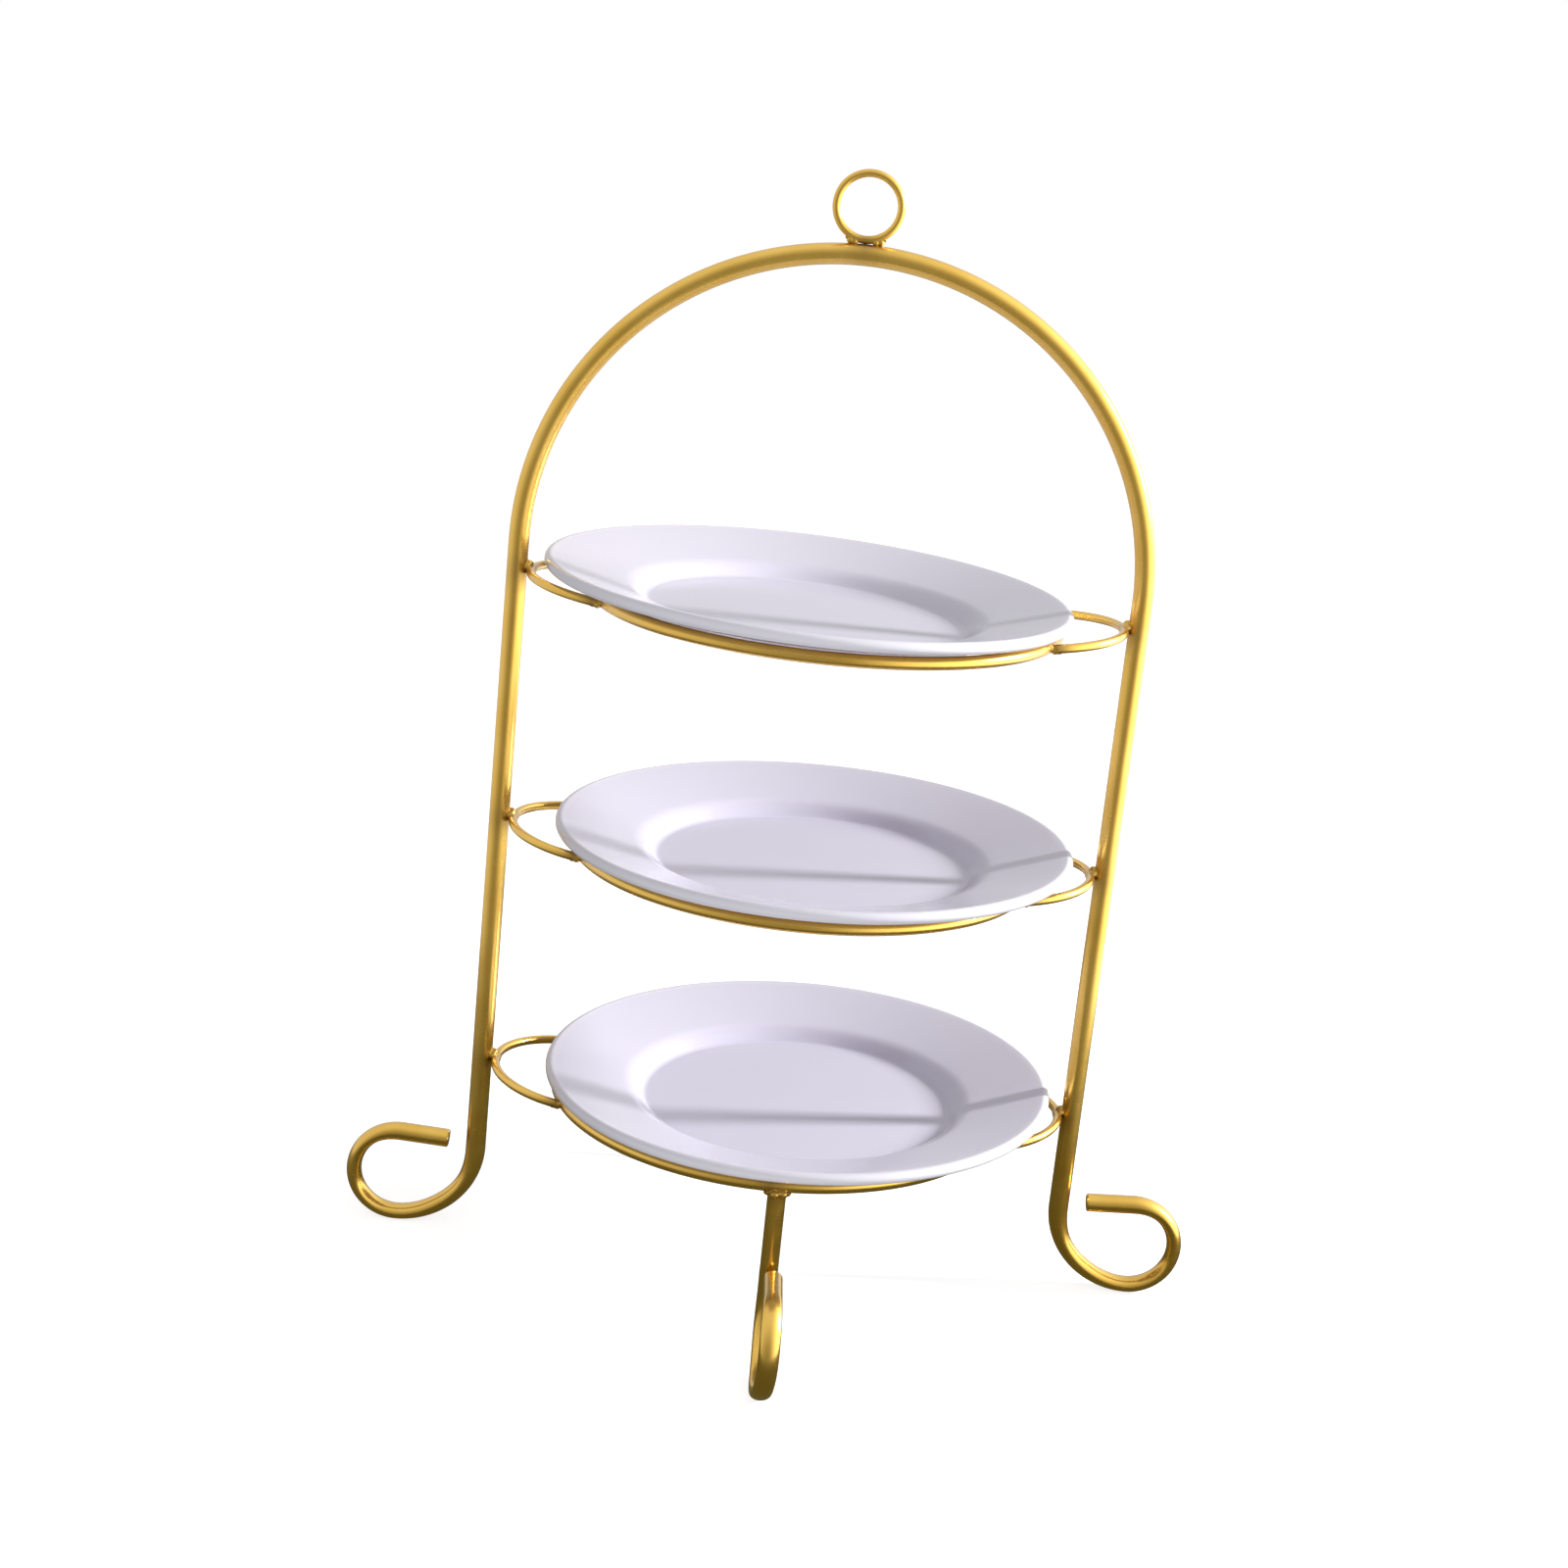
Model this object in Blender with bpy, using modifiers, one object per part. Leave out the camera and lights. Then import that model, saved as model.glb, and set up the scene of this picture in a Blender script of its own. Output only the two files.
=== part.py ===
"""Three-tier cake stand: a bent-rod arch that carries three wire rings, with a loose plate in each ring.

Metres, +Z up. X runs across the arch and -Y is the front. The origin is on the floor under the arch's middle.
"""

from math import atan2, cos, pi, radians, sin, sqrt, tan

import bpy
from mathutils import Euler, Vector

# Driving dimensions, in metres and degrees.
MESH_GAP = 0.0003  # left between pieces that touch or are welded

ROD_D = 0.008
UPRIGHT_X = 0.1195  # from the middle to each upright's axis
SPRING_Z = 0.2855  # where the uprights end and the half-round top begins

LEG_D = 0.007
LEG_SIDE = 0.003  # the front leg stands this far to the right of the middle, the rear one to the left
LEG_TURN = 1.0  # each leg's scroll is turned this far about the leg's own axis
LEG_DRIFT = 0.0016  # and its tight bend runs this far sideways
LEG_WIDE_R = 0.026  # the legs' open bend is a little closer than the arch's

SCROLL_WIDE_R = 0.031  # the first, open bend away from the upright
SCROLL_TIGHT_R = 0.017  # the bend that brings the rod back
SCROLL_TIGHT_SWEEP = 183.0
SCROLL_END = 0.019  # the straight end that points back at the upright
# Bending flattens the rod on the inside of each bend. It is thinner there by this much, and a little wider across.
OPEN_FLAT = 0.0012
TIGHT_FLAT = 0.0021
END_FLAT = 0.0008
FLAT_SPREAD = 0.35  # how much wider across, for each unit of thickness lost

RING_LEVELS = (0.0715, 0.1730, 0.2720)  # lower, middle, upper
RING_R = 0.0885
RING_D = 0.005

BOW_D = 0.0035
BOW_CENTRE_X = 0.080  # the middle of the half ellipse that a bow follows
BOW_HALF_WIDTH = 0.034
BOW_SWEEP = 80.0  # how far a bow runs to each side of its bend
BOW_RISE = 0.003  # from the ring up to the bend at the upright

HANDLE_R = 0.012
HANDLE_D = 0.003

BEND_WELD_R = 0.0016
END_WELD_R = 0.0013
HANDLE_WELD_R = 0.0012
LEG_WELD_D = 0.0022

PLATE_R = 0.1015
PLATE_H = 0.021
PLATE_THICK = 0.0046
FLOOR_R = 0.0600
WELL_R = 0.0745
WELL_DEPTH = 0.0135
RIM_SLOPE = 15.0
FOOT_R = 0.052
FOOT_WIDTH = 0.004
# How far each plate lies from the middle of its ring, to the right and to the rear: lower, middle, upper.
PLATE_SHIFTS = ((0.008, 0.002), (0.0045, 0.0), (-0.0075, 0.0))

TIERS = ("lower", "middle", "upper")
SIDES = (("left", -1), ("right", 1))


def clear_scene():
    for thing in list(bpy.data.objects):
        bpy.data.objects.remove(thing)


def new_collection(name):
    collection = bpy.data.collections.new(name)
    bpy.context.scene.collection.children.link(collection)
    return collection


def make_material(name, colour, metallic, roughness):
    material = bpy.data.materials.new(name)
    material.use_nodes = True
    surface = material.node_tree.nodes["Principled BSDF"]
    surface.inputs["Base Color"].default_value = (*colour, 1.0)
    surface.inputs["Metallic"].default_value = metallic
    surface.inputs["Roughness"].default_value = roughness
    return material


def arc(centre, radius, start, sweep, count):
    """Points (u, z) along an arc, its start left out. Angles are in degrees."""
    points = []
    for step in range(1, count + 1):
        angle = radians(start + sweep * step / count)
        points.append((centre[0] + radius * cos(angle), centre[1] + radius * sin(angle)))
    return points


def wire(name, points, diameter, closed=False):
    """A round wire through the points, cut flat at both ends unless it is closed."""
    curve = bpy.data.curves.new(name, "CURVE")
    curve.dimensions = "3D"
    curve.bevel_depth = diameter / 2
    curve.bevel_resolution = 2
    curve.use_fill_caps = True
    curve.materials.append(GOLD)
    spline = curve.splines.new("POLY")
    spline.points.add(len(points) - 1)
    for point, place in zip(spline.points, points):
        point.co = (*place, 1.0)
    spline.use_cyclic_u = closed
    spline.use_smooth = True
    thing = bpy.data.objects.new(name, curve)
    STAND.objects.link(thing)
    return thing


def bead(name, place, radius):
    """A small weld bead."""
    bpy.ops.mesh.primitive_ico_sphere_add(subdivisions=2, radius=radius, location=place)
    thing = bpy.context.object
    thing.name = name
    thing.data.name = name
    thing.data.materials.append(GOLD)
    thing.data.shade_smooth()
    for collection in list(thing.users_collection):
        collection.objects.unlink(thing)
    STAND.objects.link(thing)


def bent_rod(name, path, diameter, sides=16):
    """A rod in the XZ plane, cut flat at both ends, through points (x, y, z, flat) whose bends turn left."""
    points = []
    for i, (x, y, z, flat) in enumerate(path):
        before, after = path[max(i - 1, 0)], path[min(i + 1, len(path) - 1)]
        run = Vector((after[0] - before[0], 0.0, after[2] - before[2])).normalized()
        inward = Vector((-run.z, 0.0, run.x))
        for k in range(sides):
            angle = 2 * pi * k / sides
            inside = -diameter / 2 + (1 + cos(angle)) * (diameter - flat) / 2
            across = sin(angle) * (diameter + FLAT_SPREAD * flat) / 2
            points.append(Vector((x, y + across, z)) + inward * inside)
    faces = [list(range(sides)), list(range(len(points) - 1, len(points) - 1 - sides, -1))]
    for row in range(0, len(points) - sides, sides):
        for k in range(sides):
            n = (k + 1) % sides
            faces.append([row + k, row + sides + k, row + sides + n, row + n])
    mesh = bpy.data.meshes.new(name)
    mesh.from_pydata(points, [], faces)
    mesh.materials.append(GOLD)
    mesh.shade_smooth()
    thing = bpy.data.objects.new(name, mesh)
    STAND.objects.link(thing)
    return thing


def scroll(rod_radius, wide_r, drift=0.0):
    """The scroll foot as (u, side, z, flat), u out from the rod's axis, from its first bend to the cut end."""
    start_z = rod_radius + wide_r
    points = [(0.0, 0.0, start_z, 0.0)]
    open_bend = arc((wide_r, start_z), wide_r, 180, 90, 10)
    for step, (u, z) in enumerate(open_bend, 1):
        flat = OPEN_FLAT * min(1.0, step / 4) + (TIGHT_FLAT - OPEN_FLAT) * max(0.0, (step - 6) / 4)
        points.append((u, 0.0, z, flat))
    tight_bend = arc((wide_r, rod_radius + SCROLL_TIGHT_R), SCROLL_TIGHT_R, -90, SCROLL_TIGHT_SWEEP, 16)
    for step, (u, z) in enumerate(tight_bend, 1):
        flat = TIGHT_FLAT + (END_FLAT - TIGHT_FLAT) * max(0.0, (step - 12) / 4)
        points.append((u, drift * min(1.0, step / 8), z, flat))
    heading = radians(SCROLL_TIGHT_SWEEP)
    u, side, z, flat = points[-1]
    points.append((u + SCROLL_END * cos(heading), side, z + SCROLL_END * sin(heading), flat))
    return points


def make_arch_rod():
    """One rod: left scroll, left upright, half-round top, right upright, right scroll."""
    foot = scroll(ROD_D / 2, SCROLL_WIDE_R)
    left = [(-UPRIGHT_X - u, side, z, flat) for u, side, z, flat in reversed(foot)]
    top = [(-UPRIGHT_X, SPRING_Z)] + arc((0.0, SPRING_Z), UPRIGHT_X, 180, -180, 36)
    right = [(UPRIGHT_X + u, side, z, flat) for u, side, z, flat in foot]
    bent_rod("arch_rod", left + [(x, 0.0, z, 0.0) for x, z in top] + right, ROD_D)


def make_handle():
    """The carrying ring stands on top of the arch, with a bead in the wedge on each side of where it touches."""
    arch_outer_r = UPRIGHT_X + ROD_D / 2
    ring_outer_r = HANDLE_R + HANDLE_D / 2
    apex_z = SPRING_Z + arch_outer_r
    ring_z = apex_z + MESH_GAP + ring_outer_r
    circle = arc((0.0, ring_z), HANDLE_R, 0, 360, 36)
    wire("handle_ring", [(x, 0.0, z) for x, z in circle], HANDLE_D, closed=True)

    # A bead just clear of both circles: its centre is where two larger circles cross.
    to_arch = arch_outer_r + MESH_GAP + HANDLE_WELD_R
    to_ring = ring_outer_r + MESH_GAP + HANDLE_WELD_R
    between = ring_z - SPRING_Z
    up = (between**2 + to_arch**2 - to_ring**2) / (2 * between)
    across = sqrt(to_arch**2 - up**2)
    for side, sign in SIDES:
        bead(f"handle_weld_{side}", (sign * across, 0.0, SPRING_Z + up), HANDLE_WELD_R)


def make_ring(tier, ring_z):
    circle = arc((0.0, 0.0), RING_R, 0, 360, 48)
    wire(f"{tier}_ring", [(x, y, ring_z) for x, y in circle], RING_D, closed=True)


def bow_point(angle, apex_x, end_x):
    """A point on the right-hand bow, its height above the ring's own level."""
    x = BOW_CENTRE_X + (apex_x - BOW_CENTRE_X) * cos(radians(angle))
    y = BOW_HALF_WIDTH * sin(radians(angle))
    return x, y, BOW_RISE * (x - end_x) / (apex_x - end_x)


def make_bows(tier, ring_z):
    """Left and right U-shaped wires between ring and uprights, each with one bead at its bend and two at its ends."""
    rod_face_x = UPRIGHT_X - ROD_D / 2 - MESH_GAP
    apex_x = rod_face_x - BOW_D / 2
    end_x = BOW_CENTRE_X + (apex_x - BOW_CENTRE_X) * cos(radians(BOW_SWEEP))
    angles = [BOW_SWEEP * step / 9 for step in range(-9, 10)]
    path = [bow_point(angle, apex_x, end_x) for angle in angles]

    bend_x = rod_face_x - BEND_WELD_R
    bend_z = ring_z + BOW_RISE + BOW_D / 2 + MESH_GAP + BEND_WELD_R

    # An end bead hangs under the wire's end and against the ring's outer side.
    below = BOW_D / 2 + MESH_GAP + END_WELD_R
    outside = sqrt((RING_D / 2 + MESH_GAP + END_WELD_R) ** 2 - below**2)
    end_angle = atan2(path[-1][1], path[-1][0])
    end_r = RING_R + outside

    for side, sign in SIDES:
        wire(f"{tier}_{side}_bow", [(sign * x, y, ring_z + z) for x, y, z in path], BOW_D)
        bead(f"{tier}_{side}_bend_weld", (sign * bend_x, 0.0, bend_z), BEND_WELD_R)
        for end, facing in (("front", -1), ("rear", 1)):
            place = (sign * end_r * cos(end_angle), facing * end_r * sin(end_angle), ring_z - below)
            bead(f"{tier}_{side}_{end}_weld", place, END_WELD_R)


def make_leg(name, facing):
    """A leg under the lower ring, with a scroll foot like the arch's, and a collar of weld at its top."""
    top_z = RING_LEVELS[0] - RING_D / 2 - MESH_GAP
    thing = bent_rod(name, [(0.0, 0.0, top_z, 0.0)] + scroll(LEG_D / 2, LEG_WIDE_R, LEG_DRIFT), LEG_D)
    thing.location = (-facing * LEG_SIDE, facing * RING_R, 0.0)
    thing.rotation_euler = (0.0, 0.0, radians(LEG_TURN) + facing * pi / 2)

    collar_r = LEG_D / 2 + MESH_GAP + LEG_WELD_D / 2
    collar_z = top_z - LEG_WELD_D / 2
    circle = arc((-facing * LEG_SIDE, facing * RING_R), collar_r, 0, 360, 16)
    wire(f"{name}_weld", [(x, y, collar_z) for x, y in circle], LEG_WELD_D, closed=True)


def plate_profile():
    """Half of the plate's section, from the middle of the floor out over the lip and back under to the middle."""
    slope = tan(radians(RIM_SLOPE))
    lip_r = PLATE_THICK / 2
    lip_x = PLATE_R - lip_r
    lip_z = PLATE_H - lip_r
    floor_z = PLATE_H - WELL_DEPTH
    break_z = PLATE_H - (lip_x - WELL_R) * slope
    under_z = floor_z - PLATE_THICK

    top = [(0.0, floor_z), (FLOOR_R, floor_z)]
    top += [(FLOOR_R + 0.3 * (WELL_R - FLOOR_R), floor_z + 0.12 * (break_z - floor_z))]
    top += [(WELL_R - 0.2 * (WELL_R - FLOOR_R), break_z - 0.2 * (break_z - floor_z))]
    top += [(WELL_R + 0.003, break_z + 0.003 * slope)]
    lip = arc((lip_x, lip_z), lip_r, 90 + RIM_SLOPE, -180 - RIM_SLOPE, 6)
    well_out = WELL_R + 0.6 * PLATE_THICK
    under = [
        (well_out, lip_z - lip_r - (lip_x - well_out) * slope),
        (FLOOR_R + 0.8 * PLATE_THICK, under_z + 0.0005),
        (FOOT_R + FOOT_WIDTH / 2, under_z),
        (FOOT_R + FOOT_WIDTH / 4, 0.0),
        (FOOT_R - FOOT_WIDTH / 4, 0.0),
        (FOOT_R - FOOT_WIDTH / 2, under_z),
        (0.0, under_z),
    ]
    return top + lip + under


def make_plate(tier, ring_z, shift):
    """A round plate. Its rim is a cone lying in the ring, so off the middle it leans, with the far side up."""
    slope = tan(radians(RIM_SLOPE))
    profile = plate_profile()
    mesh = bpy.data.meshes.new(f"{tier}_plate")
    edges = [(i, i + 1) for i in range(len(profile) - 1)]
    mesh.from_pydata([(r, 0.0, z) for r, z in profile], edges, [])
    mesh.materials.append(GLAZE)
    plate = bpy.data.objects.new(f"{tier}_plate", mesh)

    turn = plate.modifiers.new("Turn", "SCREW")
    turn.axis = "Z"
    turn.angle = 2 * pi
    turn.steps = turn.render_steps = 48
    turn.use_merge_vertices = True
    turn.merge_threshold = 0.00001
    turn.use_smooth_shade = True

    # The underside's height above the plate's base where it crosses the ring, and the ring's clear height there.
    rest_z = PLATE_H - PLATE_THICK - (PLATE_R - PLATE_THICK / 2 - RING_R) * slope
    clear_z = (RING_D / 2 + MESH_GAP) / cos(radians(RIM_SLOPE)) + (shift[0] ** 2 + shift[1] ** 2) * slope / RING_R
    lean = Euler((shift[1] * slope / RING_R, -shift[0] * slope / RING_R, 0.0))
    plate.rotation_euler = lean
    plate.location = Vector((*shift, ring_z + clear_z)) - lean.to_matrix() @ Vector((0.0, 0.0, rest_z))
    STAND.objects.link(plate)


clear_scene()
STAND = new_collection("tiered_cake_stand")
GOLD = make_material("satin_gold", (0.78, 0.56, 0.22), 1.0, 0.32)
GLAZE = make_material("white_glaze", (0.86, 0.85, 0.90), 0.0, 0.12)

make_arch_rod()
make_handle()
for tier_name, tier_z, plate_shift in zip(TIERS, RING_LEVELS, PLATE_SHIFTS):
    make_ring(tier_name, tier_z)
    make_bows(tier_name, tier_z)
    make_plate(tier_name, tier_z, plate_shift)
make_leg("front_leg", -1)
make_leg("rear_leg", 1)
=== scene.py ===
"""Looks for a three-tier cake stand: satin gold wirework that carries three loose white plates.

Metres, +Z up. X runs across the arch and -Y is the front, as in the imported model.
"""

from math import cos, pi, radians, sin, sqrt, tan

import bmesh
import bpy
import numpy as np
from mathutils import Euler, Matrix, Quaternion, Vector, noise


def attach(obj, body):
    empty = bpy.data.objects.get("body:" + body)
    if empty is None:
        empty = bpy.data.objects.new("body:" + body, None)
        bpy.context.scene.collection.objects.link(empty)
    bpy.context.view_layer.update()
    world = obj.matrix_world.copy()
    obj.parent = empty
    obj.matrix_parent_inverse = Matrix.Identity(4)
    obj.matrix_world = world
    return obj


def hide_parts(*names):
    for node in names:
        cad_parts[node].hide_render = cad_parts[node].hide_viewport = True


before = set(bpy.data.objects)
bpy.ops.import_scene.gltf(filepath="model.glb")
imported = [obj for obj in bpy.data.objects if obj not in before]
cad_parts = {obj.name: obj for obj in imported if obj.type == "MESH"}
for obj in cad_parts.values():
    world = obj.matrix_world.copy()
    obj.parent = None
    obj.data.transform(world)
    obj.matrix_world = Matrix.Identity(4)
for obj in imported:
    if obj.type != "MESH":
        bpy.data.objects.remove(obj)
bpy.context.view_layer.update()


# The arch. One 8 mm steel rod, bent round a former into a half circle, with both ends rolled outwards into
# the side feet, where the bends have flattened it. Like all the wirework it is plated in satin gold over a
# fine grain.

rod_thick = 0.008
upright_out = 0.1195
spring_height = 0.2855

open_bend = 0.031
tight_bend = 0.017
tight_turn = 183.0
foot_tail = 0.019
open_flat, tight_flat, tail_flat = 0.0012, 0.0021, 0.0008
flat_spread = 0.35

ring_heights = {"lower": 0.0715, "middle": 0.1730, "upper": 0.2720}
bow_rise = 0.003


def bend(centre, radius, start, turn):
    """Points every two degrees or so round a bend, its first point left out."""
    count = max(4, round(abs(turn) / 2))
    angles = [radians(start + turn * i / count) for i in range(1, count + 1)]
    return [(centre[0] + radius * cos(a), centre[1] + radius * sin(a)) for a in angles]


def straight(start, end, step=0.004):
    """Points along a straight run, its first point left out."""
    run = Vector(end) - Vector(start)
    count = max(1, round(run.length / step))
    return [tuple(Vector(start) + run * i / count) for i in range(1, count + 1)]


def eased(t):
    """From 0 to 1 with a soft start and stop."""
    t = min(1.0, max(0.0, t))
    return t * t * (3 - 2 * t)


def foot_scroll(half_thick, top, wide, drift=0.0):
    """A foot from the straight rod at height top down to the sawn end: how far out, how far sideways, how
    high, and how much thickness the bending took from its inside."""
    bend_top = half_thick + wide
    path = [(0.0, 0.0, z, 0.0) for _, z in [(0.0, top)] + straight((0.0, top), (0.0, bend_top))]
    first = bend((wide, bend_top), wide, 180, 90)
    for i, (out, z) in enumerate(first, 1):
        t = i / len(first)
        lost = open_flat * eased(t / 0.4) + (tight_flat - open_flat) * eased((t - 0.6) / 0.4)
        path.append((out, 0.0, z, lost))
    second = bend((wide, half_thick + tight_bend), tight_bend, -90, tight_turn)
    for i, (out, z) in enumerate(second, 1):
        t = i / len(second)
        lost = tight_flat + (tail_flat - tight_flat) * eased((t - 0.72) / 0.28)
        path.append((out, drift * eased(t / 0.55), z, lost))
    out, z = second[-1]
    heading = radians(tight_turn)
    tail = straight((out, z), (out + foot_tail * cos(heading), z + foot_tail * sin(heading)))
    return path + [(out, drift, z, tail_flat) for out, z in tail]


def drawn_wire(name, path, thick, sides, closed=False, welds=(), flats=None, face=None):
    """Wire along a path. Open ends are sawn square and filed. 'flats' is the thickness lost at each point
    on the inside of a bend, in the plane that 'face' stands square to. A per-point weld attribute fades out
    over a few mm from each weld. There it browns and roughens the wire: the roughness and part of the brown
    are the duller braze, and the rest of the brown is painted shade in the crevices by the joints."""
    line = [Vector(p) for p in path]
    lost = list(flats) if flats else [0.0] * len(line)
    shrink = [1.0] * len(line)
    if not closed:
        filed = thick * 0.06
        for end, inward in ((0, 1), (-1, -2)):
            along = (line[inward] - line[end]).normalized()
            at = len(line) - 1 if end else 1
            line.insert(at, line[end] + along * filed)
            lost.insert(at, lost[end])
            shrink.insert(at, 1.0)
            shrink[end] = 1 - 2 * filed / thick
    rows = len(line)

    across = Vector(face) if face else None
    points, lengths, run = [], [], 0.0
    for i, place in enumerate(line):
        before = line[i - 1] if closed or i > 0 else place
        after = line[(i + 1) % rows] if closed or i < rows - 1 else place
        along = (after - before).normalized()
        if across is None:
            across = along.orthogonal()
        across = (across - along * across.dot(along)).normalized()
        side = along.cross(across)
        run += (place - line[i - 1]).length if i else 0.0
        lengths.append(run)
        for j in range(sides):
            angle = 2 * pi * j / sides
            inside = sin(angle) * (thick - lost[i]) / 2 * shrink[i] - lost[i] / 2
            beside = cos(angle) * (thick + flat_spread * lost[i]) / 2 * shrink[i]
            points.append(place + across * beside + side * inside)

    faces, flat = [], []
    for i in range(rows if closed else rows - 1):
        far = (i + 1) % rows
        far_run = lengths[i] + (line[far] - line[i]).length
        for j in range(sides):
            k = (j + 1) % sides
            faces.append((i * sides + j, i * sides + k, far * sides + k, far * sides + j))
            low, high = pi * thick * j / sides, pi * thick * (j + 1) / sides
            flat += [(lengths[i], low), (lengths[i], high), (far_run, high), (far_run, low)]
    if not closed:
        for cap in (list(range(sides))[::-1], list(range((rows - 1) * sides, rows * sides))):
            faces.append(cap)
            flat += [(points[v].x, points[v].z) for v in cap]

    mesh = bpy.data.meshes.new(name)
    mesh.from_pydata(points, [], faces)
    unrolled = mesh.uv_layers.new(name="unrolled")
    unrolled.data.foreach_set("uv", np.array(flat, np.float32).ravel())
    places = np.array([tuple(p) for p in points])
    # Weld fade: browns the wire near each joint, partly a duller braze tone, partly painted shade in the
    # crevices.
    near = np.zeros(len(points), np.float32)
    for weld in welds:
        away = np.linalg.norm(places - np.array(weld), axis=1)
        near = np.maximum(near, np.exp(-((away / (0.6 * thick + 0.002)) ** 2)))
    mesh.attributes.new("dull_and_shade", "FLOAT", "POINT").data.foreach_set("value", near.astype(np.float32))
    mesh.shade_smooth()
    mesh.set_sharp_from_angle(angle=radians(35))
    thing = bpy.data.objects.new(name, mesh)
    bpy.context.scene.collection.objects.link(thing)
    return thing


def satin_gold(name, grain, shade_and_dullness):
    """Gold plate on steel: a soft satin whose colour drifts a little, rougher and browner where the weld
    attribute is high. That brown is partly a duller braze tone and partly painted shade in the crevices by
    the joints."""
    gold = bpy.data.materials.new(name)
    gold.use_nodes = True
    tree = gold.node_tree
    surface = tree.nodes["Principled BSDF"]
    surface.inputs["Metallic"].default_value = 1.0
    surface.inputs["Coat Weight"].default_value = 0.8
    surface.inputs["Coat Roughness"].default_value = 0.22
    place = tree.nodes.new("ShaderNodeTexCoord")

    drift = tree.nodes.new("ShaderNodeTexNoise")
    drift.inputs["Scale"].default_value = 45.0
    drift.inputs["Detail"].default_value = 3.0
    tree.links.new(place.outputs["Object"], drift.inputs["Vector"])
    plate = tree.nodes.new("ShaderNodeValToRGB")
    plate.color_ramp.elements[0].position = 0.32
    plate.color_ramp.elements[0].color = (0.80, 0.48, 0.065, 1)
    plate.color_ramp.elements[1].position = 0.72
    plate.color_ramp.elements[1].color = (0.88, 0.56, 0.105, 1)
    tree.links.new(drift.outputs["Fac"], plate.inputs["Fac"])

    # Painted shade in the crevices by the joints, mixed with the braze's own duller tone, browns the colour
    # where the weld attribute is high.
    dull_and_shade = tree.nodes.new("ShaderNodeAttribute")
    dull_and_shade.attribute_name = "dull_and_shade"
    dull_and_shade_amount = tree.nodes.new("ShaderNodeMath")
    dull_and_shade_amount.operation = "MULTIPLY"
    dull_and_shade_amount.inputs[1].default_value = shade_and_dullness
    tree.links.new(dull_and_shade.outputs["Fac"], dull_and_shade_amount.inputs[0])
    brown_and_shade = tree.nodes.new("ShaderNodeMix")
    brown_and_shade.data_type = "RGBA"
    brown_and_shade.inputs["B"].default_value = (0.20, 0.10, 0.015, 1)
    tree.links.new(plate.outputs["Color"], brown_and_shade.inputs["A"])
    tree.links.new(dull_and_shade_amount.outputs["Value"], brown_and_shade.inputs["Factor"])
    tree.links.new(brown_and_shade.outputs["Result"], surface.inputs["Base Color"])

    wipe = tree.nodes.new("ShaderNodeTexNoise")
    wipe.inputs["Scale"].default_value = 160.0
    wipe.inputs["Detail"].default_value = 4.0
    tree.links.new(place.outputs["Object"], wipe.inputs["Vector"])
    rough = tree.nodes.new("ShaderNodeMapRange")
    rough.inputs["To Min"].default_value = 0.20
    rough.inputs["To Max"].default_value = 0.31
    tree.links.new(wipe.outputs["Fac"], rough.inputs["Value"])
    rougher = tree.nodes.new("ShaderNodeMath")
    rougher.operation = "MULTIPLY_ADD"
    rougher.inputs[1].default_value = 0.18
    tree.links.new(dull_and_shade_amount.outputs["Value"], rougher.inputs[0])
    tree.links.new(rough.outputs["Result"], rougher.inputs[2])
    tree.links.new(rougher.outputs["Value"], surface.inputs["Roughness"])

    unrolled = tree.nodes.new("ShaderNodeUVMap")
    unrolled.uv_map = "unrolled"
    stretch = tree.nodes.new("ShaderNodeMapping")
    stretch.inputs["Scale"].default_value = (150.0, 2600.0, 1.0)
    tree.links.new(unrolled.outputs["UV"], stretch.inputs["Vector"])
    drawn = tree.nodes.new("ShaderNodeTexNoise")
    drawn.inputs["Scale"].default_value = 1.0
    drawn.inputs["Detail"].default_value = 2.0
    tree.links.new(stretch.outputs["Vector"], drawn.inputs["Vector"])
    pebble = tree.nodes.new("ShaderNodeTexNoise")
    pebble.inputs["Scale"].default_value = 1400.0
    pebble.inputs["Detail"].default_value = 2.0
    tree.links.new(place.outputs["Object"], pebble.inputs["Vector"])
    both = tree.nodes.new("ShaderNodeMath")
    both.operation = "ADD"
    tree.links.new(drawn.outputs["Fac"], both.inputs[0])
    tree.links.new(pebble.outputs["Fac"], both.inputs[1])
    skin = tree.nodes.new("ShaderNodeBump")
    skin.inputs["Strength"].default_value = grain
    skin.inputs["Distance"].default_value = 0.0001
    tree.links.new(both.outputs["Value"], skin.inputs["Height"])
    tree.links.new(skin.outputs["Normal"], surface.inputs["Normal"])
    return gold


wire_gold = satin_gold("wire gold", 0.05, 0.75)

foot = foot_scroll(rod_thick / 2, spring_height, open_bend)
over = bend((0.0, spring_height), upright_out, 180, -180)
arch_path = [(-upright_out - out, 0.0, z) for out, _, z, _ in reversed(foot)]
arch_path += [(x, 0.0, z) for x, z in over] + [(upright_out + out, 0.0, z) for out, _, z, _ in foot[1:]]
arch_flats = [flat for *_, flat in reversed(foot)] + [0.0] * len(over) + [flat for *_, flat in foot[1:]]
arch_top = spring_height + upright_out + rod_thick / 2
rod_face = upright_out - rod_thick / 2
arch_welds = [(0.0, 0.0, arch_top)]
arch_welds += [(s * rod_face, 0.0, h + bow_rise) for h in ring_heights.values() for s in (-1, 1)]

arch = drawn_wire("arch", arch_path, rod_thick, 36, welds=arch_welds, flats=arch_flats, face=(0, 1, 0))
arch.data.materials.append(wire_gold)
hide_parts("arch_rod")
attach(arch, "frame")


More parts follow.
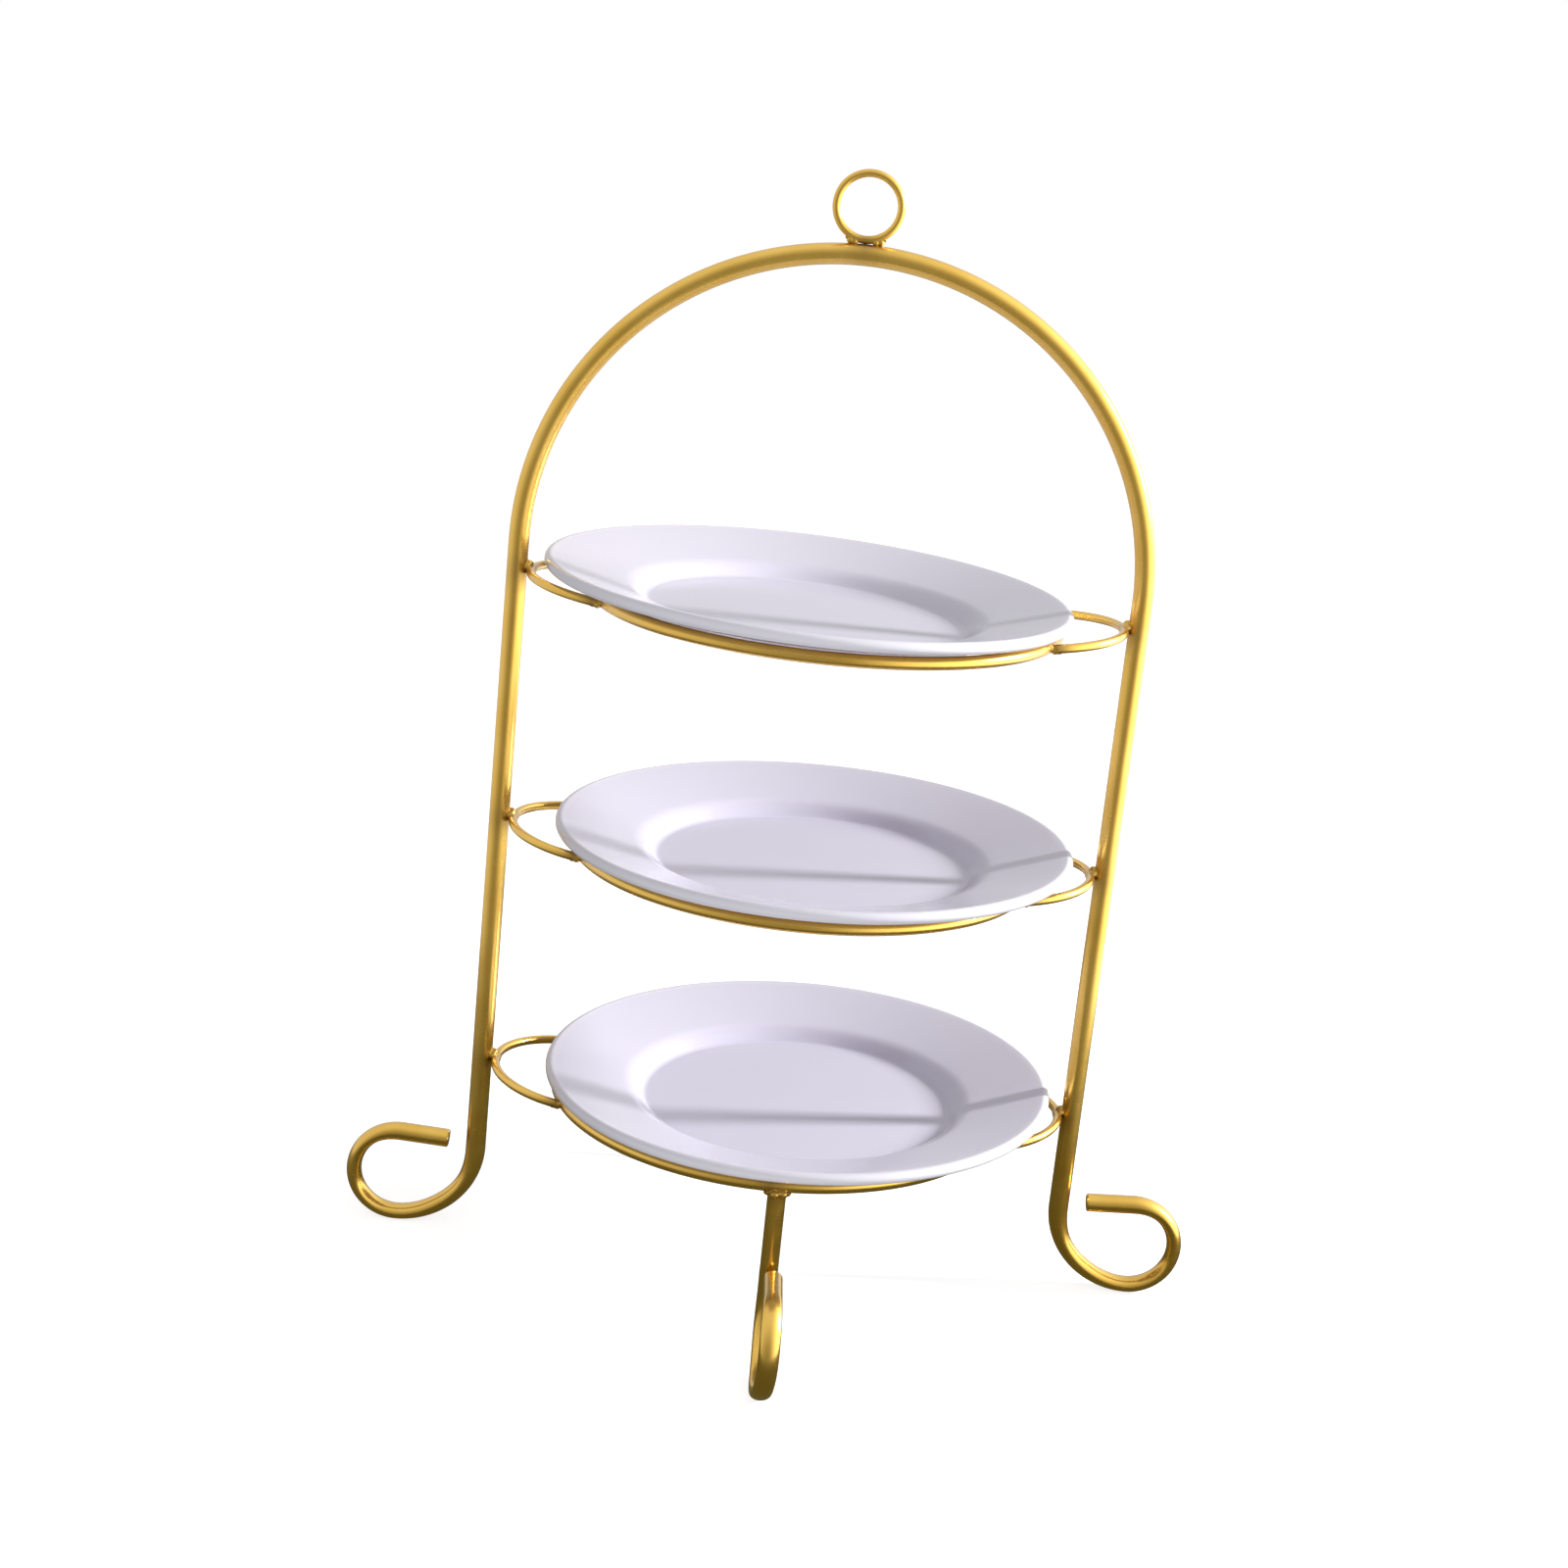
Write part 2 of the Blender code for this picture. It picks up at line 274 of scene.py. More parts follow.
# The carrying ring. A 3 mm wire ring stands on top of the arch, brazed on with a small run of filler in the
# wedge on each side of where the two touch. The filler was plated over with the rest. Its browner colour is
# partly the filler's own duller tone and partly painted shade in the crevices.

handle_thick = 0.003
handle_bend = 0.012
handle_height = arch_top + handle_bend + handle_thick / 2

weld_gold = satin_gold("weld gold", 0.22, 1.0)
under_skin = 0.0001


def weld_lump(name, stubs, beads, soften, seed):
    """Filler where wires meet: short lengths of the wires, (start, end, radius), sunk just under their
    skins, and beads, (place, radius), fused with them and melted smooth, so that only the fillet stands
    out."""
    grain = 0.00022
    pimples_a_metre, pimple_height = 620, 0.00016
    lump = bmesh.new()
    for start, end, radius in stubs:
        start, end = Vector(start), Vector(end)
        turn = Vector((0, 0, 1)).rotation_difference(end - start).to_matrix().to_4x4()
        turn.translation = (start + end) / 2
        bmesh.ops.create_cone(lump, cap_ends=True, segments=24, radius1=radius, radius2=radius,
                              depth=(end - start).length, matrix=turn)
    for place, radius in beads:
        ball = bmesh.ops.create_icosphere(lump, subdivisions=3, radius=radius)
        bmesh.ops.translate(lump, verts=ball["verts"], vec=place)
    mesh = bpy.data.meshes.new(name)
    lump.to_mesh(mesh)
    lump.free()
    thing = bpy.data.objects.new(name, mesh)
    bpy.context.scene.collection.objects.link(thing)
    fuse = thing.modifiers.new("fuse", "REMESH")
    fuse.mode = "VOXEL"
    fuse.voxel_size = grain
    melt = thing.modifiers.new("melt", "SMOOTH")
    melt.factor = 0.5
    melt.iterations = soften
    made = bpy.data.meshes.new_from_object(thing.evaluated_get(bpy.context.evaluated_depsgraph_get()))
    thing.modifiers.clear()
    thing.data = made
    bpy.data.meshes.remove(mesh)
    made.name = name
    places, normals = (np.empty(len(made.vertices) * 3) for _ in range(2))
    made.vertices.foreach_get("co", places)
    made.vertices.foreach_get("normal", normals)
    places, normals = places.reshape(-1, 3), normals.reshape(-1, 3)
    bumps = [noise.noise(Vector(p) * pimples_a_metre + Vector((seed, 0, 0))) for p in places]
    places += normals * np.array(bumps)[:, None] * pimple_height
    made.vertices.foreach_set("co", places.ravel())
    # All filler is browned and roughened evenly: partly its own duller tone, partly painted shade in the
    # crevices.
    made.attributes.new("dull_and_shade", "FLOAT", "POINT").data.foreach_set(
        "value", np.full(len(made.vertices), 0.35, np.float32))
    made.uv_layers.new(name="unrolled")
    made.shade_smooth()
    made.materials.append(weld_gold)
    return thing


handle_path = [(x, 0.0, z) for x, z in bend((0.0, handle_height), handle_bend, -90, 360)]
handle = drawn_wire("carrying_ring", handle_path, handle_thick, 24, closed=True, welds=[(0, 0, arch_top)])
handle.data.materials.append(wire_gold)
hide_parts("handle_ring")
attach(handle, "frame")

for side, sign in (("left", -1), ("right", 1)):
    wedge = sign * 0.0056
    filler = weld_lump(
        f"carrying_ring_weld_{side}",
        [((sign * 0.0012, 0, arch_top + 0.0012), (sign * 0.0075, 0, arch_top + 0.0022), 0.0009)],
        [((sign * 0.0040, 0, arch_top + 0.0008), 0.0015), ((wedge, 0, arch_top + 0.0011), 0.00145)],
        4, 3 * sign)
    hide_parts(f"handle_weld_{side}")
    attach(filler, "frame")


# The three rings. Each is 5 mm wire rolled to a circle and butt welded at the back, where the weld was ground
# nearly flush. They hang level inside the arch, one above the other.

ring_bend = 0.0885
ring_thick = 0.005
seam_half = 0.004
seam_swell = 0.035

bow_thick = 0.0035
bow_middle = 0.080
bow_half_width = 0.034
bow_turn = 80.0
bow_apex = rod_face - bow_thick / 2 + 0.0001


def bow_point(angle, sign, height):
    """A point on a bow, at an angle from its bend. It climbs evenly from the ring to the bend."""
    reach = bow_apex - bow_middle
    end = bow_middle + reach * cos(radians(bow_turn))
    x = bow_middle + reach * cos(radians(angle))
    rise = bow_rise * (x - end) / (bow_apex - end)
    return Vector((sign * x, bow_half_width * sin(radians(angle)), height + rise))


for tier, height in ring_heights.items():
    touches = []
    for sign in (-1, 1):
        for facing in (-1, 1):
            tip = bow_point(facing * bow_turn, sign, height)
            touches.append(Vector((tip.x, tip.y, 0)).normalized() * ring_bend + Vector((0, 0, height)))
    if tier == "lower":
        touches += [Vector((0, -ring_bend, height)), Vector((0, ring_bend, height))]
    ring_path = [(x, y, height) for x, y in bend((0.0, 0.0), ring_bend, 90, 360)]
    ring = drawn_wire(f"{tier}_wire_ring", ring_path, ring_thick, 28, closed=True, welds=touches)
    for point in ring.data.vertices:
        seam = Vector((point.co.x, point.co.y - ring_bend, point.co.z - height))
        if abs(seam.x) < seam_half and point.co.y > 0:
            centre = Vector((point.co.x, sqrt(ring_bend**2 - point.co.x**2), height))
            swell = 1 + seam_swell * cos(seam.x / seam_half * pi / 2) ** 2
            point.co = centre + (point.co - centre) * swell
    ring.data.materials.append(wire_gold)
    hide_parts(f"{tier}_ring")
    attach(ring, "frame")


# The bows. Each ring is tied to the two uprights by a U of 3.5 mm wire. Its bend is brazed to the inner side
# of the upright, with the filler on top of the bend, and its two ends to the outside of the ring.

for tier, height in ring_heights.items():
    for side, sign in (("left", -1), ("right", 1)):
        steps = [bow_turn * i / 40 for i in range(-40, 41)]
        bow_path = [bow_point(angle, sign, height) for angle in steps]
        tips = {"front": bow_path[0], "rear": bow_path[-1]}
        apex = bow_point(0, sign, height)
        bow = drawn_wire(f"{tier}_{side}_tie", bow_path, bow_thick, 24,
                         welds=[tips["front"], tips["rear"], apex + Vector((sign * 0.002, 0, 0))])
        bow.data.materials.append(wire_gold)
        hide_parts(f"{tier}_{side}_bow")
        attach(bow, "frame")

        seed = height * 100 + sign * 5
        inner = sign * rod_face
        top = apex.z + bow_thick / 2
        filler = weld_lump(
            f"{tier}_{side}_tie_bend_weld",
            [((sign * upright_out, 0, apex.z - 0.002), (sign * upright_out, 0, top + 0.004),
              rod_thick / 2 - under_skin),
             (bow_point(-8, sign, height), bow_point(8, sign, height), bow_thick / 2 - under_skin)],
            [((inner - sign * 0.0006, 0.0003, top + 0.0003), 0.0018),
             ((inner - sign * 0.0004, -0.0014, top - 0.0004), 0.0014),
             ((inner - sign * 0.0004, 0.0016, top - 0.0005), 0.0014)],
            9, seed)
        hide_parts(f"{tier}_{side}_bend_weld")
        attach(filler, "frame")

        for end, tip in tips.items():
            out = Vector((tip.x, tip.y, 0)).normalized()
            on_ring = out * ring_bend + Vector((0, 0, height))
            round_ring = Vector((-out.y, out.x, 0))
            back = (bow_point(68 if end == "rear" else -68, sign, height) - tip).normalized()
            joint = out * (ring_bend + ring_thick / 2 + 0.0004) + Vector((0, 0, height - 0.0007))
            filler = weld_lump(
                f"{tier}_{side}_tie_{end}_weld",
                [(on_ring - round_ring * 0.0045, on_ring + round_ring * 0.0045, ring_thick / 2 - under_skin),
                 (tip - back * 0.0006, tip + back * 0.0050, bow_thick / 2 - under_skin)],
                [(joint, 0.0016), (joint + back * 0.0018 - Vector((0, 0, 0.0004)), 0.0013),
                 (tip - out * 0.0008 - back * 0.0004, 0.0016)],
                9, seed + tip.y * 60)
            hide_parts(f"{tier}_{side}_{end}_weld")
            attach(filler, "frame")


# The front and rear legs. 7 mm rod rolled to a scroll a little closer than the arch's feet, butted up under
# the lower ring slightly to one side of its middle. A fillet flares along the ring, with one proud bead.

leg_thick = 0.007
leg_aside = 0.003
leg_askew = 1.0
leg_drift = 0.0016
leg_open_bend = 0.026
ring_under = ring_heights["lower"] - ring_thick / 2

for name, facing in (("front", -1), ("rear", 1)):
    spin = Euler((0, 0, radians(leg_askew) + facing * pi / 2)).to_matrix()
    stand_at = Vector((-facing * leg_aside, facing * ring_bend, 0))
    leg_line = foot_scroll(leg_thick / 2, ring_under + 0.0004, leg_open_bend, leg_drift)
    leg_path = [stand_at + spin @ Vector((out, aside, z)) for out, aside, z, _ in leg_line]
    leg = drawn_wire(f"{name}_scroll_leg", leg_path, leg_thick, 32, welds=[leg_path[0]],
                     flats=[flat for *_, flat in leg_line], face=spin @ Vector((0, 1, 0)))
    leg.data.materials.append(wire_gold)
    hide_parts(f"{name}_leg")
    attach(leg, "frame")

    top = stand_at + Vector((0, 0, ring_under))
    along = Vector((1, 0, 0))
    ring_here = [Vector((top.x + x, facing * sqrt(ring_bend**2 - (top.x + x) ** 2), ring_heights["lower"]))
                 for x in (-0.008, 0.0, 0.008)]
    filler = weld_lump(
        f"{name}_scroll_leg_weld",
        [(ring_here[0], ring_here[1], ring_thick / 2 - under_skin),
         (ring_here[1], ring_here[2], ring_thick / 2 - under_skin),
         (top - Vector((0, 0, 0.006)), top + Vector((0, 0, 0.001)), leg_thick / 2 - under_skin)],
        [(top + along * 0.0036 - Vector((0, 0, 0.0002)), 0.0016),
         (top - along * 0.0036 - Vector((0, 0, 0.0002)), 0.0016),
         (top + Vector((0.0021, facing * 0.0024, 0.0002)), 0.0019),
         (top + Vector((-0.001, facing * 0.0028, -0.0002)), 0.0016),
         (top + Vector((0, -facing * 0.0028, -0.0004)), 0.0016)],
        24, 40 + facing)
    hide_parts(f"{name}_leg_weld")
    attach(filler, "frame")


# The plates. Pressed white ware under a clear glossy glaze. Its colour carries painted shade in the well's
# corner and a painted highlight over the lip. The foot ring is left bare. A plate's rim is a cone in its wire
# ring, so pushed aside it leans.

plate_out = 0.1015
plate_tall = 0.021
plate_thick = 0.0046
floor_out = 0.0600
well_deep = 0.0135
rim_climb = 15.0
wall_climb = 40.0
foot_out = 0.052
foot_wide = 0.004
plate_places = {"lower": (0.008, 0.002), "middle": (0.0045, 0.0), "upper": (-0.0075, 0.0)}


def plate_section():
    """Half of the section, from the middle of the floor over the lip and back under to the middle."""
    climb, wall = radians(rim_climb), radians(wall_climb)
    lip = plate_thick / 2
    lip_x, lip_z = plate_out - lip, plate_tall - lip
    floor = plate_tall - well_deep
    under = floor - plate_thick
    floor_soft, rim_soft = 0.004, 0.016

    def rim_top(x):
        return lip_z + lip / cos(climb) - (lip_x - x) * tan(climb)

    line = [(0.0, floor), (0.02, floor), (0.04, floor)]
    line += [(floor_out - 0.006, floor), (floor_out - 0.002, floor)]
    line += bend((floor_out, floor + floor_soft), floor_soft, -90, wall_climb)
    turned = rim_soft * (sin(wall) - sin(climb)), rim_soft * (cos(climb) - cos(wall))
    x, z = line[-1]
    gap = rim_top(x + turned[0]) - z - turned[1]
    wall_run = gap / (sin(wall) - cos(wall) * tan(climb))
    x, z = x + wall_run * cos(wall), z + wall_run * sin(wall)
    line += straight(line[-1], (x, z), 0.0012)
    brow = (x + rim_soft * sin(wall), z - rim_soft * cos(wall))
    line += bend(brow, rim_soft, 90 + wall_climb, rim_climb - wall_climb)
    lip_start = (lip_x - lip * sin(climb), lip_z + lip * cos(climb))
    line += straight(line[-1], lip_start, 0.003)
    line += bend((lip_x, lip_z), lip, 90 + rim_climb, -180.0)[1:]

    x, z = line[-1]
    knee = floor_out + 0.0165
    line += straight((x, z), (knee, z - (x - knee) * tan(climb)), 0.003)
    corner = floor_out + 0.0035
    start = line[-1]
    for i in range(1, 9):
        t = i / 8
        fall = 0.35 * t + 0.65 * eased(t)
        line.append((start[0] + (corner - start[0]) * t, start[1] + (under + 0.0004 - start[1]) * fall))
    outer, inner = foot_out + foot_wide / 2, foot_out - foot_wide / 2
    line += straight(line[-1], (outer + 0.0012, under), 0.002)
    line += [(outer + 0.0003, under - 0.0003), (outer, under - 0.0010), (outer - 0.0004, 0.0008)]
    line += [(outer - 0.0007, 0.0002), (outer - 0.0012, 0.0), (inner + 0.0012, 0.0), (inner + 0.0007, 0.0002)]
    line += [(inner + 0.0004, 0.0008), (inner, under - 0.0010), (inner - 0.0003, under - 0.0003)]
    line += [(inner - 0.0012, under), (inner - 0.006, under), (0.025, under), (0.0, under)]
    return line


def white_glaze():
    """Clear glaze on white ware: a cool white with painted shade in the well's corner, a painted highlight on
    the lip, and a faint ripple.
    """
    glaze = bpy.data.materials.new("white glaze")
    glaze.use_nodes = True
    tree = glaze.node_tree
    surface = tree.nodes["Principled BSDF"]
    surface.inputs["IOR"].default_value = 1.5
    surface.inputs["Coat Weight"].default_value = 0.35
    surface.inputs["Coat Roughness"].default_value = 0.05

    place = tree.nodes.new("ShaderNodeTexCoord")
    flatten = tree.nodes.new("ShaderNodeVectorMath")
    flatten.operation = "MULTIPLY"
    flatten.inputs[1].default_value = (1, 1, 0)
    tree.links.new(place.outputs["Object"], flatten.inputs[0])
    out = tree.nodes.new("ShaderNodeVectorMath")
    out.operation = "LENGTH"
    tree.links.new(flatten.outputs["Vector"], out.inputs[0])
    zones = tree.nodes.new("ShaderNodeMapRange")
    zones.inputs["From Max"].default_value = plate_out
    tree.links.new(out.outputs["Value"], zones.inputs["Value"])
    # Colour by distance from the middle: darker in the well's corner as painted shade, and much paler over
    # the lip as a painted highlight.
    corner_shade_lip_light = tree.nodes.new("ShaderNodeValToRGB")
    ramp = corner_shade_lip_light.color_ramp
    ramp.elements[0].position = 0.0
    ramp.elements[0].color = (0.705, 0.685, 0.800, 1)
    ramp.elements[1].position = 1.0
    ramp.elements[1].color = (0.83, 0.82, 0.88, 1)
    for at, colour in ((0.56, (0.705, 0.685, 0.80, 1)), (0.61, (0.68, 0.66, 0.78, 1)),
                       (0.70, (0.725, 0.705, 0.81, 1)), (0.95, (0.73, 0.71, 0.815, 1))):
        ramp.elements.new(at).color = colour
    tree.links.new(zones.outputs["Result"], corner_shade_lip_light.inputs["Fac"])
    cloud = tree.nodes.new("ShaderNodeTexNoise")
    cloud.inputs["Scale"].default_value = 22.0
    cloud.inputs["Detail"].default_value = 3.0
    tree.links.new(place.outputs["Object"], cloud.inputs["Vector"])
    faint = tree.nodes.new("ShaderNodeMapRange")
    faint.inputs["To Min"].default_value = 0.975
    faint.inputs["To Max"].default_value = 1.02
    tree.links.new(cloud.outputs["Fac"], faint.inputs["Value"])
    tinted = tree.nodes.new("ShaderNodeVectorMath")
    tinted.operation = "SCALE"
    tree.links.new(corner_shade_lip_light.outputs["Color"], tinted.inputs[0])
    tree.links.new(faint.outputs["Result"], tinted.inputs["Scale"])
    tree.links.new(tinted.outputs["Vector"], surface.inputs["Base Color"])

    smear = tree.nodes.new("ShaderNodeMapRange")
    smear.inputs["To Min"].default_value = 0.13
    smear.inputs["To Max"].default_value = 0.21
    tree.links.new(cloud.outputs["Fac"], smear.inputs["Value"])
    tree.links.new(smear.outputs["Result"], surface.inputs["Roughness"])

    ripple = tree.nodes.new("ShaderNodeTexNoise")
    ripple.inputs["Scale"].default_value = 75.0
    ripple.inputs["Detail"].default_value = 1.0
    tree.links.new(place.outputs["Object"], ripple.inputs["Vector"])
    skin = tree.nodes.new("ShaderNodeBump")
    skin.inputs["Strength"].default_value = 0.06
    skin.inputs["Distance"].default_value = 0.0004
    tree.links.new(ripple.outputs["Fac"], skin.inputs["Height"])
    tree.links.new(skin.outputs["Normal"], surface.inputs["Normal"])
    return glaze


def bare_foot():
    """The unglazed foot ring: chalky, a little warm, ground on its lowest edge."""
    bare = bpy.data.materials.new("bare foot")
    bare.use_nodes = True
    tree = bare.node_tree
    surface = tree.nodes["Principled BSDF"]
    surface.inputs["Roughness"].default_value = 0.75
    place = tree.nodes.new("ShaderNodeTexCoord")
    grit = tree.nodes.new("ShaderNodeTexNoise")
    grit.inputs["Scale"].default_value = 900.0
    grit.inputs["Detail"].default_value = 3.0
    tree.links.new(place.outputs["Object"], grit.inputs["Vector"])
    tone = tree.nodes.new("ShaderNodeValToRGB")
    tone.color_ramp.elements[0].color = (0.60, 0.57, 0.54, 1)
    tone.color_ramp.elements[1].color = (0.78, 0.76, 0.73, 1)
    tree.links.new(grit.outputs["Fac"], tone.inputs["Fac"])
    tree.links.new(tone.outputs["Color"], surface.inputs["Base Color"])
    skin = tree.nodes.new("ShaderNodeBump")
    skin.inputs["Strength"].default_value = 0.3
    skin.inputs["Distance"].default_value = 0.0001
    tree.links.new(grit.outputs["Fac"], skin.inputs["Height"])
    tree.links.new(skin.outputs["Normal"], surface.inputs["Normal"])
    return bare


glaze, bare = white_glaze(), bare_foot()
section = plate_section()
spokes = 160
plate_points = [(0.0, 0.0, section[0][1])]
for x, z in section[1:-1]:
    plate_points += [(x * cos(2 * pi * k / spokes), x * sin(2 * pi * k / spokes), z) for k in range(spokes)]
plate_points.append((0.0, 0.0, section[-1][1]))
plate_faces = [(0, 1 + k, 1 + (k + 1) % spokes) for k in range(spokes)]
for i in range(len(section) - 3):
    row, below = 1 + i * spokes, 1 + (i + 1) * spokes
    for k in range(spokes):
        n = (k + 1) % spokes
        plate_faces.append((row + k, below + k, below + n, row + n))
last, row = len(plate_points) - 1, 1 + (len(section) - 3) * spokes
plate_faces += [(last, row + (k + 1) % spokes, row + k) for k in range(spokes)]

for tier, (right, back) in plate_places.items():
    mesh = bpy.data.meshes.new(f"{tier}_white_plate")
    mesh.from_pydata(plate_points, [], plate_faces)
    mesh.materials.append(glaze)
    mesh.materials.append(bare)
    for face in mesh.polygons:
        face.material_index = int(face.center.z < 0.0012)
    mesh.shade_smooth()
    plate = bpy.data.objects.new(f"{tier}_white_plate", mesh)
    bpy.context.scene.collection.objects.link(plate)

    slope = tan(radians(rim_climb))
    seat_z = plate_tall - plate_thick - (plate_out - plate_thick / 2 - ring_bend) * slope
    clear = (ring_thick / 2 + 0.0003) / cos(radians(rim_climb)) + (right**2 + back**2) * slope / ring_bend
    lean = Euler((back * slope / ring_bend, -right * slope / ring_bend, 0.0))
    plate.rotation_euler = lean
    rests_at = Vector((right, back, ring_heights[tier] + clear))
    plate.location = rests_at - lean.to_matrix() @ Vector((0, 0, seat_z))
    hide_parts(f"{tier}_plate")
    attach(plate, f"{tier}_plate")


# The room. A plain white floor without an edge in sight, a tall narrow window to the right that throws the
# upright's shadow across each plate, and soft light from above and in front. Reflections show a plainer room
# of their own: a dim front, a paler left, a bright right, and a dark table top under the feet.

floor = bmesh.new()
bmesh.ops.create_circle(floor, cap_ends=True, segments=96, radius=30.0)
floor_mesh = bpy.data.meshes.new("floor")
floor.to_mesh(floor_mesh)
floor.free()
floor = bpy.data.objects.new("floor", floor_mesh)
bpy.context.scene.collection.objects.link(floor)
floor.visible_glossy = floor.visible_diffuse = False
paper = bpy.data.materials.new("white paper")
paper.use_nodes = True
paper_face = paper.node_tree.nodes["Principled BSDF"]
paper_face.inputs["Base Color"].default_value = (0.55, 0.55, 0.55, 1)
paper_face.inputs["Roughness"].default_value = 0.9
paper_face.inputs["Specular IOR Level"].default_value = 0.0
paper_face.inputs["Emission Color"].default_value = (1, 1, 1, 1)
paper_face.inputs["Emission Strength"].default_value = 0.80
floor_mesh.materials.append(paper)


def from_six_sides(tree, output, tints):
    """A colour by direction, blended from one each for right, left, rear, front, above and below."""
    split = tree.nodes.new("ShaderNodeSeparateXYZ")
    tree.links.new(output, split.inputs[0])
    total = None
    for way, tint in tints.items():
        axis, sign = way
        faced = tree.nodes.new("ShaderNodeMath")
        faced.operation = "MULTIPLY"
        faced.inputs[1].default_value = sign
        faced.use_clamp = True
        tree.links.new(split.outputs[axis], faced.inputs[0])
        share = tree.nodes.new("ShaderNodeMath")
        share.operation = "MULTIPLY"
        tree.links.new(faced.outputs[0], share.inputs[0])
        tree.links.new(faced.outputs[0], share.inputs[1])
        lit = tree.nodes.new("ShaderNodeVectorMath")
        lit.operation = "SCALE"
        lit.inputs[0].default_value = tint
        tree.links.new(share.outputs[0], lit.inputs["Scale"])
        if total:
            both = tree.nodes.new("ShaderNodeVectorMath")
            both.operation = "ADD"
            tree.links.new(total, both.inputs[0])
            tree.links.new(lit.outputs[0], both.inputs[1])
            total = both.outputs[0]
        else:
            total = lit.outputs[0]
    return total


room = bpy.data.worlds.new("room")
bpy.context.scene.world = room
room.use_nodes = True
room_tree = room.node_tree
room_tree.nodes.clear()
look = room_tree.nodes.new("ShaderNodeTexCoord")
soft_light = {("X", 1): (0.17, 0.17, 0.17), ("X", -1): (0.05, 0.05, 0.05), ("Y", 1): (0.03, 0.03, 0.03),
              ("Y", -1): (1.28, 1.27, 1.30), ("Z", 1): (0.46, 0.46, 0.47), ("Z", -1): (0.35, 0.35, 0.36)}
soft = room_tree.nodes.new("ShaderNodeBackground")
room_tree.links.new(from_six_sides(room_tree, look.outputs["Generated"], soft_light), soft.inputs["Color"])
white = room_tree.nodes.new("ShaderNodeBackground")
white.inputs["Color"].default_value = (1, 1, 1, 1)
seen = room_tree.nodes.new("ShaderNodeLightPath")
choose = room_tree.nodes.new("ShaderNodeMixShader")
room_tree.links.new(seen.outputs["Is Camera Ray"], choose.inputs["Fac"])
room_tree.links.new(soft.outputs["Background"], choose.inputs[1])
room_tree.links.new(white.outputs["Background"], choose.inputs[2])
end = room_tree.nodes.new("ShaderNodeOutputWorld")
room_tree.links.new(choose.outputs["Shader"], end.inputs["Surface"])


def only_in_reflections(name, mesh, tree_maker):
    """A surface that nothing but a reflection shows, and that casts no shadow."""
    mirrored = bpy.data.materials.new(name)
    mirrored.use_nodes = True
    tree = mirrored.node_tree
    tree.nodes.clear()
    glow = tree.nodes.new("ShaderNodeEmission")
    tree.links.new(tree_maker(tree), glow.inputs["Color"])
    finish = tree.nodes.new("ShaderNodeOutputMaterial")
    tree.links.new(glow.outputs[0], finish.inputs["Surface"])
    mirrored.cycles.emission_sampling = "NONE"
    mesh.materials.append(mirrored)
    thing = bpy.data.objects.new(name, mesh)
    bpy.context.scene.collection.objects.link(thing)
    thing.visible_camera = thing.visible_diffuse = thing.visible_shadow = thing.visible_transmission = False
    return thing


def walls(tree):
    place = tree.nodes.new("ShaderNodeTexCoord")
    way = tree.nodes.new("ShaderNodeVectorMath")
    way.operation = "NORMALIZE"
    tree.links.new(place.outputs["Object"], way.inputs[0])
    return from_six_sides(tree, way.outputs[0], {
        ("X", 1): (2.7, 2.7, 2.7), ("X", -1): (0.84, 0.84, 0.86), ("Y", 1): (0.66, 0.66, 0.68),
        ("Y", -1): (0.31, 0.305, 0.27), ("Z", 1): (0.90, 0.90, 0.92), ("Z", -1): (0.34, 0.33, 0.27)})


